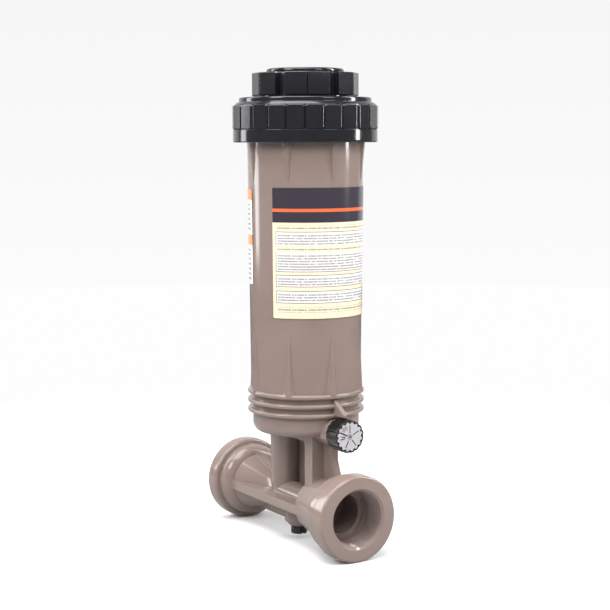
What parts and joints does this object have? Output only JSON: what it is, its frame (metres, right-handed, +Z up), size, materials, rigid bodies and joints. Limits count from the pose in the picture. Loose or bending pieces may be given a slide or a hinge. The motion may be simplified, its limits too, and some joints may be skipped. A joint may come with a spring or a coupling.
{
  "type": "inline pool chlorinator",
  "caption": "Inline tablet chlorinator: upright chamber on a threaded pipe run, with a cover held by a lock nut, a dial valve in front and a drain plug below.",
  "frame": {"origin": "on the pipe axis where the inlet port's thread starts, just inside the inlet face", "axes": "+X along the flow from inlet to outlet, +Z up along the tablet chamber, +Y to the left when looking along the flow"},
  "size_m": [0.2032, 0.1276, 0.4179],
  "materials": {
    "body": "satin",
    "front_label": "satin",
    "side_label": "satin",
    "grid": "matte",
    "cap": "gloss",
    "seal": "matte",
    "valve": "satin",
    "knob": "satin",
    "dial": "satin",
    "screw": "brushed",
    "plug": "matte"
  },
  "bodies": {
    "chamber": {"feeder_body": "body", "chamber_tube": "body", "front_label": "front_label", "side_label": "side_label", "tablet_grid": "grid", "valve_cage": "valve", "cage_o_rings": "seal", "valve_bonnet": "valve", "bonnet_o_ring": "seal"},
    "cover": {"cover": "cap", "cover_o_ring": "seal"},
    "lock_nut": {"lock_nut": "cap"},
    "dial": {"control_knob": "knob", "dial_plate": "dial", "knob_screw": "screw", "valve_stem": "valve", "stem_o_rings": "seal"},
    "drain_seal": {"drain_o_ring": "seal"},
    "drain_plug": {"drain_plug": "plug"}
  },
  "joints": [
    {"name": "cover_rise", "type": "slide", "parent": "chamber", "child": "cover", "axis": [0, 0, 1], "range_m": [0, 0.0254]},
    {"name": "lock_nut_turn", "type": "hinge", "parent": "cover", "child": "lock_nut", "pos_m": [0.1156, 0, 0.33], "axis": [0, 0, 1], "range_deg": [0, 1440]},
    {"name": "dial_turn", "type": "hinge", "parent": "chamber", "child": "dial", "pos_m": [0.1756, 0, 0.0688], "axis": [1, 0, 0], "range_deg": [0, 270]},
    {"name": "drain_seal_drop", "type": "slide", "parent": "chamber", "child": "drain_seal", "axis": [0, 0, -1], "range_m": [0, 0.0045]},
    {"name": "drain_plug_turn", "type": "hinge", "parent": "drain_seal", "child": "drain_plug", "pos_m": [0.1031, 0, -0.029], "axis": [0, 0, -1], "range_deg": [0, 1080]}
  ],
  "couplings": [
    {"joint": "cover_rise", "follows": "lock_nut_turn", "m_per_rad": 0.0010106},
    {"joint": "drain_plug_turn", "follows": "drain_seal_drop", "rad_per_m": 4188.8}
  ]
}
